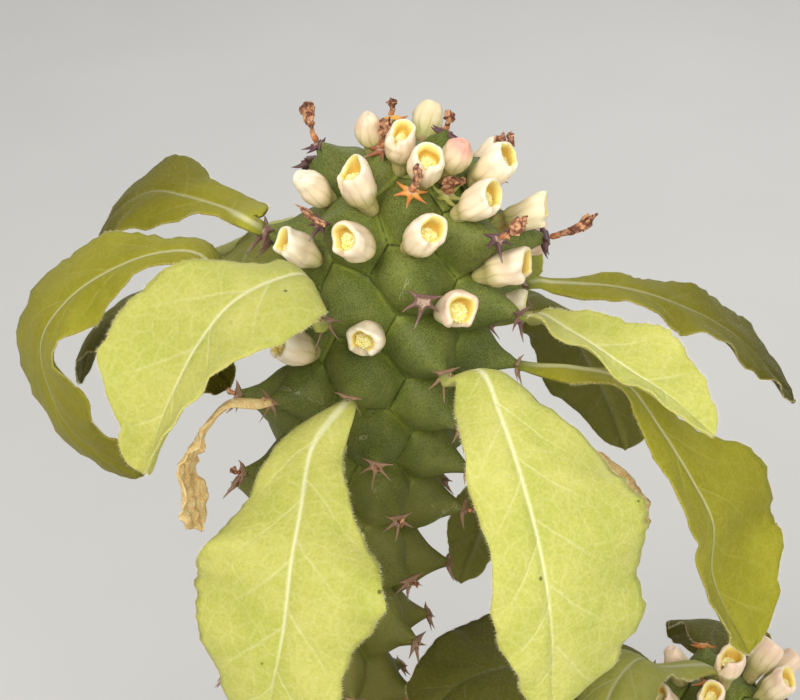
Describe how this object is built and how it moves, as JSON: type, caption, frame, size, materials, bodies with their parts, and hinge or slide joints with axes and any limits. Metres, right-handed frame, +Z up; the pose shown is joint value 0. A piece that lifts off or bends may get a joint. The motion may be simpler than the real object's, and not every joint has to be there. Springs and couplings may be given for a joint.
{
  "type": "potted euphorbia spinulosa",
  "caption": "Spiny knobbly succulent with two green stems, drooping wavy leaves and cream cup flowers round the crown, in a plain clay pot of gritty soil.",
  "frame": {"origin": "middle of the pot's flat underside", "axes": "+Z up; -Y is the front, from which the plant is seen; +X to the right, the side where the shorter stem stands"},
  "size_m": [0.1664, 0.132, 0.2609],
  "materials": {
    "skin": "dull waxy dark green plant skin",
    "leaf": "soft yellow-green leaf with short hairs",
    "dry_leaf": "papery tan",
    "flower": "smooth cream, yellow inside",
    "dry_stalk": "dull red-brown",
    "clay": "unglazed fired clay",
    "soil": "rough gritty mix"
  },
  "bodies": {
    "root": {"cup_flower_1": "flower", "cup_flower_10": "flower", "cup_flower_11": "flower", "cup_flower_12": "flower", "cup_flower_13": "flower", "cup_flower_14": "flower", "cup_flower_15": "flower", "cup_flower_16": "flower", "cup_flower_17": "flower", "cup_flower_18": "flower", "cup_flower_19": "flower", "cup_flower_2": "flower", "cup_flower_20": "flower", "cup_flower_21": "flower", "cup_flower_22": "flower", "cup_flower_23": "flower", "cup_flower_3": "flower", "cup_flower_4": "flower", "cup_flower_5": "flower", "cup_flower_6": "flower", "cup_flower_7": "flower", "cup_flower_8": "flower", "cup_flower_9": "flower", "dry_leaf_left": "dry_leaf", "dry_leaf_right": "dry_leaf", "dry_stalk_1": "dry_stalk", "dry_stalk_2": "dry_stalk", "dry_stalk_3": "dry_stalk", "leaf_back": "leaf", "leaf_back_left": "leaf", "leaf_back_right": "leaf", "leaf_front_left": "leaf", "leaf_front_right": "leaf", "leaf_left": "leaf", "leaf_left_arched": "leaf", "leaf_left_high": "leaf", "leaf_left_low": "leaf", "leaf_left_lowest": "leaf", "leaf_right": "leaf", "leaf_right_high": "leaf", "leaf_right_low": "leaf", "leaf_right_lowest": "leaf", "main_stem": "skin", "pot": "clay", "side_cup_flower_1": "flower", "side_cup_flower_2": "flower", "side_cup_flower_3": "flower", "side_cup_flower_4": "flower", "side_cup_flower_5": "flower", "side_cup_flower_6": "flower", "side_cup_flower_7": "flower", "side_leaf_back": "leaf", "side_leaf_back_left": "leaf", "side_leaf_front_left": "leaf", "side_leaf_front_right": "leaf", "side_leaf_left": "leaf", "side_leaf_right": "leaf", "side_stem": "skin", "soil": "soil"}
  },
  "joints": []
}
